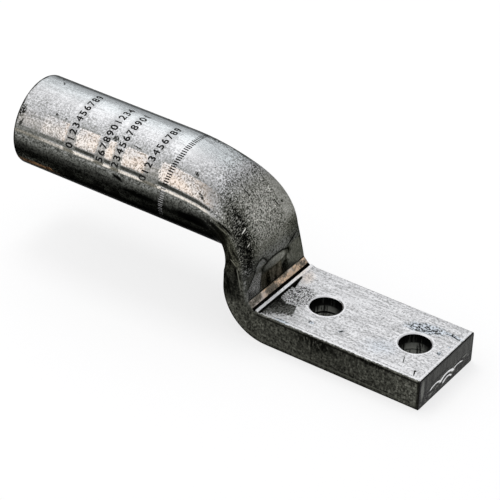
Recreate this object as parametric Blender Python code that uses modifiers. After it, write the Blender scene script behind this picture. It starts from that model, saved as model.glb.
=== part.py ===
# Two-hole compression lug for a large aluminium conductor, in metres with +Z up.
# One length of thick round tube makes the whole lug: it stays round as the barrel, is pressed
# flat as it bends down through the shoulder and neck, and ends as a flat pad with two bolt holes.
# +X runs towards the pad's end and +Y across it. The origin lies on the pad's contact face,
# midway between the bolt holes.

from math import cos, pi, radians, sin

import bmesh
import bpy

# Barrel, the part of the tube that stays round
BARREL_DIAMETER = 0.0413
BARREL_LENGTH = 0.0745
BARREL_AXIS_HEIGHT = 0.051
TUBE_WALL = 0.00735
MOUTH_OUTER_BREAK = 0.0005
MOUTH_LEAD_IN = 0.0012

# Pad, the part of the tube that is pressed flat
PAD_WIDTH = 0.04445
PAD_THICKNESS = 0.015
PAD_EDGE_RADIUS = 0.0008
END_TO_HOLE = 0.015875
HOLE_PITCH = 0.04445
HOLE_DIAMETER = 0.01429
HOLE_EDGE_BREAK = 0.0003

# Side view of the bend: the top runs over the shoulder and down the neck's front
SHOULDER_UPPER_RADIUS = 0.0615
SHOULDER_UPPER_TURN = radians(26)
SHOULDER_LOWER_RADIUS = 0.042
NECK_FRONT_LEAN = radians(9.5)
TOE_TO_HOLE = 0.0223
TOE_FACET = 0.0046
TOE_FACET_SLOPE = radians(45)

# Side view of the bend: the underside turns down behind the neck and under the heel
THROAT_RADIUS = 0.002
NECK_BACK_LEAN = radians(6.5)
NECK_THICKNESS = 0.0128
HEEL_RADIUS = 0.023

# The flattened bore, which closes to a seam between the two walls
SEAM_WIDTH = 0.033
SEAM_GAP = 0.0003
SEAM_DROP = 0.0008

# How the section changes. A station is 0 where the shoulder starts, 1 at the top of the neck,
# 2 at its foot, 3 where the flat pad starts and 4 at the pad's end.
LEAD_BEFORE_SHOULDER = 0.0043
THROAT_REACHED = 0.28
WIDENING = (0.38, 1.1)
FRONT_FLATTENS_FROM = 0.22
BACK_FLATTENS_FROM = 0.49
FRONT_ROUNDNESS_AT_NECK = 0.27
BACK_ROUNDNESS_AT_NECK = 0.14
NECK_FADE = 1.45
THROUGH_ROUNDNESS = 0.87
SEAM_WIDENS = (0.2, 1.0)
SEAM_SINKS = (0.5, 1.5)

# Facets
CORNER_STEPS = 12
BORE_CORNER_STEPS = 8
STEPS_TO_THROAT = 12
STEPS_ROUND_THROAT = 14
STEPS_DOWN_NECK = 6
STEPS_ROUND_HEEL = 8
HOLE_STEPS = 48
CUT_OVERRUN = 0.004
WELD_DISTANCE = 0.00001

PAD_END_X = HOLE_PITCH / 2 + END_TO_HOLE
TOE_X = -HOLE_PITCH / 2 - TOE_TO_HOLE
BARREL_RADIUS = BARREL_DIAMETER / 2
BARREL_TOP = BARREL_AXIS_HEIGHT + BARREL_RADIUS
BARREL_UNDERSIDE = BARREL_AXIS_HEIGHT - BARREL_RADIUS
BORE_RADIUS = BARREL_RADIUS - TUBE_WALL


def clear_scene():
    for thing in list(bpy.data.objects):
        bpy.data.objects.remove(thing, do_unlink=True)


def new_collection(name):
    collection = bpy.data.collections.new(name)
    bpy.context.scene.collection.children.link(collection)
    return collection


def ease(value, start, end):
    """Rise smoothly from 0 at start to 1 at end."""
    share = min(max((value - start) / (end - start), 0), 1)
    return share * share * (3 - 2 * share)


def blend(first, last, share):
    return first + (last - first) * share


def mix_points(first, last, share):
    return tuple(blend(a, b, share) for a, b in zip(first, last))


def on_arc(centre, radius, angle):
    """A point on an arc in the side view, with the angle measured from straight up towards +X."""
    return (centre[0] + radius * sin(angle), centre[1] + radius * cos(angle))


def top_line():
    """Lay out the top of the bend from the toe backwards, as the neck's front is tangent to the
    shoulder's lower arc, which is tangent to its upper arc and so to the barrel's top."""
    foot = (TOE_X - TOE_FACET * cos(TOE_FACET_SLOPE), PAD_THICKNESS + TOE_FACET * sin(TOE_FACET_SLOPE))
    last_turn = pi / 2 - NECK_FRONT_LEAN
    lower_height = BARREL_TOP - SHOULDER_UPPER_RADIUS
    lower_height += (SHOULDER_UPPER_RADIUS - SHOULDER_LOWER_RADIUS) * cos(SHOULDER_UPPER_TURN)
    neck_top_height = lower_height + SHOULDER_LOWER_RADIUS * cos(last_turn)
    neck_front = (neck_top_height - foot[1]) / cos(NECK_FRONT_LEAN)
    neck_top = (foot[0] - neck_front * sin(NECK_FRONT_LEAN), neck_top_height)
    lower_centre = (neck_top[0] - SHOULDER_LOWER_RADIUS * sin(last_turn), lower_height)
    step = SHOULDER_UPPER_RADIUS - SHOULDER_LOWER_RADIUS
    upper_centre = (lower_centre[0] - step * sin(SHOULDER_UPPER_TURN), BARREL_TOP - SHOULDER_UPPER_RADIUS)
    return {
        "start": upper_centre[0] - LEAD_BEFORE_SHOULDER,
        "upper_centre": upper_centre,
        "lower_centre": lower_centre,
        "last_turn": last_turn,
        "neck_top": neck_top,
        "foot": foot,
        "toe": (TOE_X, PAD_THICKNESS),
    }


def bottom_line(top):
    """Lay out the underside: the neck's back is tangent to the heel and to the throat's fillet."""
    back_x = top["foot"][0] - NECK_THICKNESS
    rise = (HEEL_RADIUS - top["foot"][1]) * sin(NECK_BACK_LEAN)
    heel_centre = (back_x + (HEEL_RADIUS - rise) / cos(NECK_BACK_LEAN), HEEL_RADIUS)
    foot = on_arc(heel_centre, HEEL_RADIUS, -pi / 2 - NECK_BACK_LEAN)
    throat_height = BARREL_UNDERSIDE - THROAT_RADIUS
    neck_top_height = throat_height + THROAT_RADIUS * sin(NECK_BACK_LEAN)
    neck_back = (neck_top_height - foot[1]) / cos(NECK_BACK_LEAN)
    neck_top = (foot[0] - neck_back * sin(NECK_BACK_LEAN), neck_top_height)
    throat_centre = (neck_top[0] - THROAT_RADIUS * cos(NECK_BACK_LEAN), throat_height)
    return {
        "throat_centre": throat_centre,
        "throat_turn": pi / 2 - NECK_BACK_LEAN,
        "neck_top": neck_top,
        "foot": foot,
        "heel_centre": heel_centre,
        "toe": (heel_centre[0], 0),
    }


def along_top(top, distance):
    """The top's point at a distance past the start of the shoulder's stations."""
    if distance < LEAD_BEFORE_SHOULDER:
        return (top["start"] + distance, BARREL_TOP)
    distance -= LEAD_BEFORE_SHOULDER
    upper_length = SHOULDER_UPPER_RADIUS * SHOULDER_UPPER_TURN
    if distance < upper_length:
        return on_arc(top["upper_centre"], SHOULDER_UPPER_RADIUS, distance / SHOULDER_UPPER_RADIUS)
    turn = SHOULDER_UPPER_TURN + (distance - upper_length) / SHOULDER_LOWER_RADIUS
    return on_arc(top["lower_centre"], SHOULDER_LOWER_RADIUS, turn)


def along_underside(top, bottom, distance):
    """The underside's point at a distance past the start of the shoulder's stations."""
    straight = bottom["throat_centre"][0] - top["start"]
    if distance < straight:
        return (top["start"] + distance, BARREL_UNDERSIDE)
    return on_arc(bottom["throat_centre"], THROAT_RADIUS, (distance - straight) / THROAT_RADIUS)


def underside_distance(straight, round_throat, top_length, share):
    """Pair the two lines over the shoulder: the underside keeps pace with the top at first, slows
    down as it nears the throat, and creeps round the throat while the top swings over."""
    creep = round_throat / (1 - THROAT_REACHED)
    if share >= THROAT_REACHED:
        return straight + creep * (share - THROAT_REACHED)
    part = share / THROAT_REACHED
    arrive = part * part * (3 - 2 * part)
    leave_speed = top_length * THROAT_REACHED * part * (1 - part) * (1 - part)
    arrive_speed = creep * THROAT_REACHED * part * part * (part - 1)
    return straight * arrive + leave_speed + arrive_speed


def stations():
    """List each section's station, its point on the top and its point on the underside."""
    top = top_line()
    bottom = bottom_line(top)
    result = []
    lower_turn = top["last_turn"] - SHOULDER_UPPER_TURN
    top_length = LEAD_BEFORE_SHOULDER + SHOULDER_UPPER_RADIUS * SHOULDER_UPPER_TURN
    top_length += SHOULDER_LOWER_RADIUS * lower_turn
    straight = bottom["throat_centre"][0] - top["start"]
    round_throat = THROAT_RADIUS * bottom["throat_turn"]
    shares = [THROAT_REACHED * i / STEPS_TO_THROAT for i in range(STEPS_TO_THROAT)]
    shares += [blend(THROAT_REACHED, 1, i / STEPS_ROUND_THROAT) for i in range(STEPS_ROUND_THROAT)]
    for share in shares:
        under = underside_distance(straight, round_throat, top_length, share)
        result.append((share, along_top(top, share * top_length), along_underside(top, bottom, under)))
    for i in range(STEPS_DOWN_NECK):
        share = i / STEPS_DOWN_NECK
        front = mix_points(top["neck_top"], top["foot"], share)
        result.append((1 + share, front, mix_points(bottom["neck_top"], bottom["foot"], share)))
    for i in range(STEPS_ROUND_HEEL):
        share = i / STEPS_ROUND_HEEL
        turn = -pi + (pi / 2 - NECK_BACK_LEAN) * (1 - share)
        front = mix_points(top["foot"], top["toe"], share)
        result.append((2 + share, front, on_arc(bottom["heel_centre"], HEEL_RADIUS, turn)))
    result.append((3, top["toe"], bottom["toe"]))
    return result


def corner(half_width, half_thickness, across, through, steps=CORNER_STEPS):
    """One quarter of a section, from its side to its face, as (across, through) pairs. The points
    are at half steps, so four corners make a full round when the flats between them vanish."""
    points = []
    for i in range(steps):
        angle = (i + 0.5) * pi / 2 / steps
        out = half_width - across + across * cos(angle)
        points.append((out, half_thickness - through + through * sin(angle)))
    return points


def ring(front, back, front_corner, back_corner, shift=0):
    """Stand a section up between its points on the top and the underside."""
    middle = mix_points(back, front, 0.5)
    half = ((front[0] - back[0]) / 2, (front[1] - back[1]) / 2)
    half_length = (half[0] ** 2 + half[1] ** 2) ** 0.5
    outline = list(front_corner)
    outline += [(-y, through) for y, through in reversed(front_corner)]
    outline += [(-y, -through) for y, through in back_corner]
    outline += [(y, -through) for y, through in reversed(back_corner)]
    points = []
    for y, through in outline:
        share = (through + shift) / half_length
        points.append((middle[0] + half[0] * share, y, middle[1] + half[1] * share))
    return points


def roundness(station, flattens_from, at_neck):
    """1 where the corners still make the full round of the tube, 0 where they are pressed square."""
    if station < 1:
        return blend(1, at_neck, ease(station, flattens_from, 1))
    return at_neck * max(2 - station, 0) ** NECK_FADE


def outer_ring(station, front, back):
    half_thickness = ((front[0] - back[0]) ** 2 + (front[1] - back[1]) ** 2) ** 0.5 / 2
    half_width = blend(BARREL_RADIUS, PAD_WIDTH / 2, ease(station, *WIDENING))
    corners = []
    for flattens_from, at_neck in (
        (FRONT_FLATTENS_FROM, FRONT_ROUNDNESS_AT_NECK),
        (BACK_FLATTENS_FROM, BACK_ROUNDNESS_AT_NECK),
    ):
        share = roundness(station, flattens_from, at_neck)
        across = blend(PAD_EDGE_RADIUS, half_width, share)
        through = blend(PAD_EDGE_RADIUS, half_thickness, share ** THROUGH_ROUNDNESS)
        corners.append(corner(half_width, half_thickness, across, through))
    return ring(front, back, *corners)


def bore_ring(station, front, back):
    """The tube's inside: a round bore that the walls close to a thin seam."""
    half_thickness = ((front[0] - back[0]) ** 2 + (front[1] - back[1]) ** 2) ** 0.5 / 2
    half_gap = max(half_thickness - TUBE_WALL, SEAM_GAP / 2)
    half_width = blend(BORE_RADIUS, SEAM_WIDTH / 2, ease(station, *SEAM_WIDENS))
    quarter = corner(half_width, half_gap, half_width, half_gap, BORE_CORNER_STEPS)
    return ring(front, back, quarter, quarter, -SEAM_DROP * ease(station, *SEAM_SINKS))


def barrel_ring(x, radius, steps=CORNER_STEPS):
    """A round section of the barrel or its bore."""
    quarter = corner(radius, radius, radius, radius, steps)
    return ring((x, BARREL_AXIS_HEIGHT + radius), (x, BARREL_AXIS_HEIGHT - radius), quarter, quarter)


def loft(name, rings, collection):
    """Skin a closed body over the sections, in order, and cap both ends."""
    form = bmesh.new()
    loops = [[form.verts.new(point) for point in points] for points in rings]
    count = len(loops[0])
    for near, far in zip(loops, loops[1:]):
        for i in range(count):
            form.faces.new((near[i], near[(i + 1) % count], far[(i + 1) % count], far[i]))
    form.faces.new(loops[0])
    form.faces.new(loops[-1])
    bmesh.ops.recalc_face_normals(form, faces=form.faces)
    mesh = bpy.data.meshes.new(name)
    form.to_mesh(mesh)
    form.free()
    mesh.shade_smooth()
    mesh.set_sharp_from_angle(angle=radians(35))
    body = bpy.data.objects.new(name, mesh)
    collection.objects.link(body)
    return body


def make_lug(collection, sections):
    mouth_x = sections[0][1][0] + LEAD_BEFORE_SHOULDER - BARREL_LENGTH
    rings = [
        barrel_ring(mouth_x, BARREL_RADIUS - MOUTH_OUTER_BREAK),
        barrel_ring(mouth_x + MOUTH_OUTER_BREAK, BARREL_RADIUS),
    ]
    rings += [outer_ring(*section) for section in sections]
    rings.append(outer_ring(4, (PAD_END_X, PAD_THICKNESS), (PAD_END_X, 0)))
    return loft("lug_body", rings, collection)


def make_bore_cutter(collection, sections):
    mouth_x = sections[0][1][0] + LEAD_BEFORE_SHOULDER - BARREL_LENGTH
    past_end = PAD_END_X + CUT_OVERRUN
    rings = [
        barrel_ring(mouth_x - CUT_OVERRUN, BORE_RADIUS + MOUTH_LEAD_IN, BORE_CORNER_STEPS),
        barrel_ring(mouth_x, BORE_RADIUS + MOUTH_LEAD_IN, BORE_CORNER_STEPS),
        barrel_ring(mouth_x + MOUTH_LEAD_IN, BORE_RADIUS, BORE_CORNER_STEPS),
    ]
    rings += [bore_ring(*section) for section in sections[::2]]
    rings.append(bore_ring(4, (past_end, PAD_THICKNESS), (past_end, 0)))
    return loft("bore_cutter", rings, collection)


def make_hole_cutter(name, x, collection):
    """A turned cutter for one bolt hole, flared where it leaves each face to break the edge."""
    radius = HOLE_DIAMETER / 2
    flare = radius + HOLE_EDGE_BREAK
    profile = [
        (0, PAD_THICKNESS + CUT_OVERRUN),
        (flare, PAD_THICKNESS + CUT_OVERRUN),
        (flare, PAD_THICKNESS),
        (radius, PAD_THICKNESS - HOLE_EDGE_BREAK),
        (radius, HOLE_EDGE_BREAK),
        (flare, 0),
        (flare, -CUT_OVERRUN),
        (0, -CUT_OVERRUN),
    ]
    mesh = bpy.data.meshes.new(name)
    edges = [(i, i + 1) for i in range(len(profile) - 1)]
    mesh.from_pydata([(r, 0, z) for r, z in profile], edges, [])
    cutter = bpy.data.objects.new(name, mesh)
    cutter.location.x = x
    turn = cutter.modifiers.new("turn", "SCREW")
    turn.steps = HOLE_STEPS
    turn.render_steps = HOLE_STEPS
    turn.use_merge_vertices = True
    turn.merge_threshold = WELD_DISTANCE
    collection.objects.link(cutter)
    return cutter


def cut(body, cutter):
    """Take the cutter out of the body, and show the cutter as a wire guide only."""
    boolean = body.modifiers.new("cut_" + cutter.name, "BOOLEAN")
    boolean.operation = "DIFFERENCE"
    boolean.object = cutter
    cutter.hide_render = True
    cutter.display_type = "WIRE"


def aluminium():
    material = bpy.data.materials.new("drawn_aluminium")
    material.use_nodes = True
    shader = material.node_tree.nodes["Principled BSDF"]
    shader.inputs["Base Color"].default_value = (0.62, 0.61, 0.59, 1)
    shader.inputs["Metallic"].default_value = 1.0
    shader.inputs["Roughness"].default_value = 0.38
    return material


def main():
    clear_scene()
    parts = new_collection("two_hole_lug")
    cutters = new_collection("cutters")
    sections = stations()
    lug = make_lug(parts, sections)
    lug.data.materials.append(aluminium())
    cut(lug, make_bore_cutter(cutters, sections))
    for name, side in (("near_barrel", -1), ("near_end", 1)):
        cut(lug, make_hole_cutter("bolt_hole_" + name, side * HOLE_PITCH / 2, cutters))


main()
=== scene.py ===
from math import cos, pi, radians, sin

import bmesh
import bpy
from mathutils import Matrix, Vector


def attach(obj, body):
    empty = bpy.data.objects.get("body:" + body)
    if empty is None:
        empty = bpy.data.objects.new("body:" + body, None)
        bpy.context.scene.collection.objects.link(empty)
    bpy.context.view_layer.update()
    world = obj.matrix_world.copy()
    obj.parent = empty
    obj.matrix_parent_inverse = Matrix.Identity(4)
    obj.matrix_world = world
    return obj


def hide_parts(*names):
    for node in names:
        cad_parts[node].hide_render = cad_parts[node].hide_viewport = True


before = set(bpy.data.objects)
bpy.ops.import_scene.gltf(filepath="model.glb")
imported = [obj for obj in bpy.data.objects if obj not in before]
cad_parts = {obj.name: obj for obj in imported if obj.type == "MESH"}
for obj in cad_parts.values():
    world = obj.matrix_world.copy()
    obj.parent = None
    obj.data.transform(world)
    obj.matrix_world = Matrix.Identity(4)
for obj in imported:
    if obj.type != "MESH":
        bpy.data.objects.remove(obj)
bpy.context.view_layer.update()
print("frame loaded:", list(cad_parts))

scene = bpy.context.scene
mm = 1000  # a metre in mm, which the finishes are laid out in


def addObject(name, data):
    made = bpy.data.objects.new(name, data)
    scene.collection.objects.link(made)
    return made


# small helpers for node trees; new nodes go into the tree that is being written

writing = {"tree": None}


def feed(socket, value):
    if isinstance(value, bpy.types.NodeSocket):
        writing["tree"].links.new(value, socket)
    else:
        socket.default_value = value


def addNode(kind, inputs=None, **settings):
    made = writing["tree"].nodes.new(kind)
    for name, value in settings.items():
        setattr(made, name, value)
    for name, value in (inputs or {}).items():
        feed(made.inputs[name], value)
    return made


# a geometry node, named without its prefix, which hands on its first output
def geo(kind, inputs=None, **settings):
    return addNode("GeometryNode" + kind, inputs, **settings).outputs[0]


def calc(operation, *values, clamp=False):
    made = addNode("ShaderNodeMath", operation=operation, use_clamp=clamp)
    for i, value in enumerate(values):
        feed(made.inputs[i], value)
    return made.outputs[0]


def chain(operation, values):
    total = values[0]
    for value in values[1:]:
        total = calc(operation, total, value)
    return total


def add(*values):
    return chain("ADD", values)


def times(*values):
    return chain("MULTIPLY", values)


def highest(*values):
    return chain("MAXIMUM", values)


def lowest(*values):
    return chain("MINIMUM", values)


def minus(first, second):
    return calc("SUBTRACT", first, second)


def divide(first, second):
    return calc("DIVIDE", first, second)


def unsigned(value):
    return calc("ABSOLUTE", value)


# a pattern around 0.5 to an amount that swings around 0
def sway(pattern, amount):
    return times(minus(pattern, 0.5), amount)


def vecCalc(operation, *values):
    made = addNode("ShaderNodeVectorMath", operation=operation)
    for i, value in enumerate(values):
        feed(made.inputs[i], value)
    return made.outputs["Value" if operation in ("DOT_PRODUCT", "LENGTH", "DISTANCE") else "Vector"]


def stretch(vector, factors):
    return vecCalc("MULTIPLY", vector, factors)


def joinVector(x, y, z):
    return addNode("ShaderNodeCombineXYZ", {"X": x, "Y": y, "Z": z}).outputs[0]


def splitVector(vector):
    return addNode("ShaderNodeSeparateXYZ", {"Vector": vector}).outputs


def noiseOf(vector, scale, detail=2, roughness=0.5, distortion=0):
    return addNode("ShaderNodeTexNoise", {
        "Vector": vector, "Scale": scale, "Detail": detail, "Roughness": roughness, "Distortion": distortion
    }).outputs["Fac"]


# rises smoothly from 0 at low to 1 at high; low above high makes it fall
def rise(value, low, high):
    first, last = (1, 0) if low > high else (0, 1)
    return addNode("ShaderNodeMapRange", {
        "Value": value, "From Min": min(low, high), "From Max": max(low, high), "To Min": first, "To Max": last
    }, interpolation_type="SMOOTHSTEP").outputs[0]


# 1 between two values with soft ends
def between(value, low, high, soft):
    return times(rise(value, low - soft, low + soft), rise(value, high + soft, high - soft))


def mixValue(share, first, second):
    made = addNode("ShaderNodeMix", data_type="FLOAT")
    for i, value in ((0, share), (2, first), (3, second)):
        feed(made.inputs[i], value)
    return made.outputs[0]


def mixColour(share, first, second, blend="MIX"):
    made = addNode("ShaderNodeMix", data_type="RGBA", blend_type=blend)
    for i, value in ((0, share), (6, first), (7, second)):
        feed(made.inputs[i], (*value, 1) if isinstance(value, tuple) else value)
    return made.outputs[2]


# a curve through (position, value) stops
def curve(value, stops):
    first, last = stops[0][0], stops[-1][0]
    made = addNode("ShaderNodeValToRGB", {"Fac": divide(minus(value, first), last - first)})
    elements = made.color_ramp.elements
    for position, level in stops[1:-1]:
        elements.new((position - first) / (last - first))
    for element, (position, level) in zip(elements, stops):
        element.color = (level, level, level, 1)
    return made.outputs["Color"]


# a new tree to write in, what it is given and the inputs of its end; its sockets are named by kind
def newTree(name, kind, inputs, outputs):
    tree = bpy.data.node_groups.new(name, kind)
    for way, sockets in (("INPUT", inputs), ("OUTPUT", outputs)):
        for socketKind, labels in sockets.items():
            for label in labels:
                tree.interface.new_socket(name=label, in_out=way, socket_type="NodeSocket" + socketKind)
    writing["tree"] = tree
    return tree, addNode("NodeGroupInput").outputs, addNode("NodeGroupOutput").inputs


def useGroup(group, inputs):
    made = writing["tree"].nodes.new("ShaderNodeGroup")
    made.node_tree = group
    for name, value in inputs.items():
        feed(made.inputs[name], value)
    return made.outputs


# camera at the photograph's place

cameraSet = {"turn": 32.294, "height": 33.966, "roll": 3.003, "distance": 1.160,
             "aim": (-0.060, 0, 0.025), "aside": (-0.0016, 0.0026), "lens": 193.9, "clip": (0.05, 50)}


def makeCamera():
    turn, height, roll = (radians(cameraSet[key]) for key in ("turn", "height", "roll"))
    back = Vector((sin(turn) * cos(height), -cos(turn) * cos(height), sin(height)))
    level = Vector((cos(turn), sin(turn), 0))
    upright = back.cross(level)
    right = level * cos(roll) + upright * sin(roll)
    up = upright * cos(roll) - level * sin(roll)
    aim = Vector(cameraSet["aim"]) + right * cameraSet["aside"][0] + up * cameraSet["aside"][1]
    data = bpy.data.cameras.new("photoCamera")
    data.lens = cameraSet["lens"]
    data.clip_start, data.clip_end = cameraSet["clip"]
    camera = addObject("photoCamera", data)
    facing = Matrix((right, up, back)).transposed().to_4x4()
    camera.matrix_world = Matrix.Translation(aim + back * cameraSet["distance"]) @ facing
    scene.camera = camera


makeCamera()
print("camera placed")


# the lug's skin, a finer loft on the same lines as the solid

lug = {"barrelDiameter": 0.0413, "barrelLength": 0.0745, "axisHeight": 0.051, "tubeWall": 0.00735,
       "mouthBreak": 0.0005, "mouthLeadIn": 0.0012,
       "padWidth": 0.04445, "padThickness": 0.015, "padEdge": 0.0008, "endBreak": 0.00025,
       "endToHole": 0.015875, "holePitch": 0.04445, "holeDiameter": 0.01429, "holeBreak": 0.0005,
       "upperRadius": 0.0615, "upperTurn": radians(26), "lowerRadius": 0.042,
       "frontLean": radians(9.5), "toeToHole": 0.0223, "toeFacet": 0.0046, "facetSlope": radians(45),
       "throatRadius": 0.002, "backLean": radians(6.5), "neckThickness": 0.0128, "heelRadius": 0.023,
       "seamWidth": 0.033, "seamGap": 0.0001, "seamClosing": 0.00012, "seamDrop": 0.0008,
       "lead": 0.0043, "throatReached": 0.28, "widening": (0.38, 1.1),
       "frontFlattens": 0.22, "backFlattens": 0.49, "frontAtNeck": 0.27, "backAtNeck": 0.14,
       "neckFade": 1.45, "throughRoundness": 0.87, "seamWidens": (0.2, 1.0), "seamSinks": (0.5, 1.5),
       "creaseDepth": 0.0003, "creaseWidth": 0.0006, "lipHeight": 0.0007, "lipWidth": 0.0022,
       "cornerSteps": 26, "flatSteps": 8, "sectionSpacing": 0.0014, "padSpacing": 0.002, "neckSections": 14,
       "facetSections": 20, "boreSteps": 20, "holeSteps": 96, "holeRings": 8, "cutterReach": 0.004,
       "creaseGap": 0.0003, "padGap": 0.0005, "mouthCurl": 0.15, "creaseFloor": 0.45, "lipBack": 0.9,
       "lipFoot": (0.9, 0.12), "sharpAngle": radians(32)}

barrelRadius = lug["barrelDiameter"] / 2
barrelTop = lug["axisHeight"] + barrelRadius
barrelUnder = lug["axisHeight"] - barrelRadius
boreRadius = barrelRadius - lug["tubeWall"]
padEnd = lug["holePitch"] / 2 + lug["endToHole"]
toeX = -lug["holePitch"] / 2 - lug["toeToHole"]


def ease(value, start, end):
    share = min(max((value - start) / (end - start), 0), 1)
    return share * share * (3 - 2 * share)


def mix(a, b, share):
    return a + (b - a) * share


def mixPoints(first, last, share):
    return tuple(mix(a, b, share) for a, b in zip(first, last))


def onArc(centre, radius, angle):
    return (centre[0] + radius * sin(angle), centre[1] + radius * cos(angle))


# the side view: a line over the top and a line along the underside
def sideLines():
    upper, lower = lug["upperRadius"], lug["lowerRadius"]
    facet, slope = lug["toeFacet"], lug["facetSlope"]
    foot = (toeX - facet * cos(slope), lug["padThickness"] + facet * sin(slope))
    lastTurn = pi / 2 - lug["frontLean"]
    lowerZ = barrelTop - upper + (upper - lower) * cos(lug["upperTurn"])
    neckZ = lowerZ + lower * cos(lastTurn)
    neckX = foot[0] - (neckZ - foot[1]) / cos(lug["frontLean"]) * sin(lug["frontLean"])
    lowerCentre = (neckX - lower * sin(lastTurn), lowerZ)
    upperCentre = (lowerCentre[0] - (upper - lower) * sin(lug["upperTurn"]), barrelTop - upper)
    top = {"start": upperCentre[0] - lug["lead"], "upper": upperCentre, "lower": lowerCentre,
           "lastTurn": lastTurn, "neck": (neckX, neckZ), "foot": foot, "toe": (toeX, lug["padThickness"])}
    heel, lean = lug["heelRadius"], lug["backLean"]
    backX = foot[0] - lug["neckThickness"]
    heelCentre = (backX + (heel - (heel - foot[1]) * sin(lean)) / cos(lean), heel)
    backFoot = onArc(heelCentre, heel, -pi / 2 - lean)
    throatZ = barrelUnder - lug["throatRadius"]
    backNeckZ = throatZ + lug["throatRadius"] * sin(lean)
    backNeckX = backFoot[0] - (backNeckZ - backFoot[1]) / cos(lean) * sin(lean)
    under = {"throat": (backNeckX - lug["throatRadius"] * cos(lean), throatZ), "throatTurn": pi / 2 - lean,
             "neck": (backNeckX, backNeckZ), "foot": backFoot, "heel": heelCentre, "toe": (heelCentre[0], 0)}
    return top, under


def overTop(top, distance):
    if distance < lug["lead"]:
        return (top["start"] + distance, barrelTop)
    distance -= lug["lead"]
    upperLength = lug["upperRadius"] * lug["upperTurn"]
    if distance < upperLength:
        return onArc(top["upper"], lug["upperRadius"], distance / lug["upperRadius"])
    turned = lug["upperTurn"] + (distance - upperLength) / lug["lowerRadius"]
    return onArc(top["lower"], lug["lowerRadius"], turned)


def alongUnder(top, under, distance):
    straight = under["throat"][0] - top["start"]
    if distance < straight:
        return (top["start"] + distance, barrelUnder)
    return onArc(under["throat"], lug["throatRadius"], (distance - straight) / lug["throatRadius"])


def underDistance(straight, roundThroat, topLength, share):
    reached = lug["throatReached"]
    creep = roundThroat / (1 - reached)
    if share >= reached:
        return straight + creep * (share - reached)
    part = share / reached
    return (straight * part * part * (3 - 2 * part) + topLength * reached * part * (1 - part) ** 2
            + creep * reached * part * part * (part - 1))


# every section as (station, top point, underside point)
def bendSections(top, under):
    found = []
    turned = top["lastTurn"] - lug["upperTurn"]
    topLength = lug["lead"] + lug["upperRadius"] * lug["upperTurn"] + lug["lowerRadius"] * turned
    straight = under["throat"][0] - top["start"]
    roundThroat = lug["throatRadius"] * under["throatTurn"]
    count = round(topLength / lug["sectionSpacing"])
    for i in range(count):
        share = i / count
        low = underDistance(straight, roundThroat, topLength, share)
        found.append((share, overTop(top, share * topLength), alongUnder(top, under, low)))
    for i in range(lug["neckSections"]):
        share = i / lug["neckSections"]
        found.append((1 + share, mixPoints(top["neck"], top["foot"], share),
                      mixPoints(under["neck"], under["foot"], share)))
    for i in range(lug["facetSections"]):
        share = i / lug["facetSections"]
        turn = -pi + (pi / 2 - lug["backLean"]) * (1 - share)
        found.append((2 + share, mixPoints(top["foot"], top["toe"], share),
                      onArc(under["heel"], lug["heelRadius"], turn)))
    found.append((3, top["toe"], under["toe"]))
    return found


def quarter(halfWidth, halfThickness, across, through, steps):
    points = []
    for i in range(steps):
        angle = (i + 0.5) * pi / 2 / steps
        points.append((halfWidth - across + across * cos(angle), halfThickness - through + through * sin(angle)))
    return points


# a closed section, with a few points across each flat, stood up between its top and underside points
def ring(front, back, frontCorner, backCorner, shift=0, flats=0):
    middle = mixPoints(back, front, 0.5)
    half = ((front[0] - back[0]) / 2, (front[1] - back[1]) / 2)
    halfLength = (half[0] ** 2 + half[1] ** 2) ** 0.5
    quarters = [list(frontCorner), [(-y, t) for y, t in reversed(frontCorner)],
                [(-y, -t) for y, t in backCorner], [(y, -t) for y, t in reversed(backCorner)]]
    outline = []
    for corner, following in zip(quarters, quarters[1:] + quarters[:1]):
        outline += corner
        outline += [mixPoints(corner[-1], following[0], (i + 1) / (flats + 1)) for i in range(flats)]
    points = []
    for y, through in outline:
        share = (through + shift) / halfLength
        points.append((middle[0] + half[0] * share, y, middle[1] + half[1] * share))
    return points


def roundness(station, flattens, atNeck):
    if station < 1:
        return mix(1, atNeck, ease(station, flattens, 1))
    return atNeck * max(2 - station, 0) ** lug["neckFade"]


def skinRing(station, front, back, inset=0):
    halfThickness = ((front[0] - back[0]) ** 2 + (front[1] - back[1]) ** 2) ** 0.5 / 2
    halfWidth = mix(barrelRadius, lug["padWidth"] / 2, ease(station, *lug["widening"]))
    corners = []
    for face in ("front", "back"):
        share = roundness(station, lug[face + "Flattens"], lug[face + "AtNeck"])
        across = mix(lug["padEdge"], halfWidth, share)
        through = mix(lug["padEdge"], halfThickness, share ** lug["throughRoundness"])
        corners.append(quarter(halfWidth - inset, halfThickness, across, through, lug["cornerSteps"]))
    return ring(front, back, *corners, flats=lug["flatSteps"])


def boreRing(station, front, back):
    halfThickness = ((front[0] - back[0]) ** 2 + (front[1] - back[1]) ** 2) ** 0.5 / 2
    closing = lug["seamClosing"] * ease(station, 1, 3)
    halfGap = max(halfThickness - lug["tubeWall"] - closing, lug["seamGap"] / 4)
    halfWidth = mix(boreRadius, lug["seamWidth"] / 2, ease(station, *lug["seamWidens"]))
    corner = quarter(halfWidth, halfGap, halfWidth, halfGap, lug["boreSteps"])
    return ring(front, back, corner, corner, -lug["seamDrop"] * ease(station, *lug["seamSinks"]))


def roundRing(x, radius, steps, flats=0):
    corner = quarter(radius, radius, radius, radius, steps)
    return ring((x, lug["axisHeight"] + radius), (x, lug["axisHeight"] - radius), corner, corner, flats=flats)


# where a ring crosses the tube's top line: the step, the share of it, and the point
def crownOf(points):
    middle = next(i for i in range(len(points) - 1) if points[i][1] > 0 >= points[i + 1][1])
    part = points[middle][1] / (points[middle][1] - points[middle + 1][1])
    return middle, part, mixPoints(points[middle], points[middle + 1], part)


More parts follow.
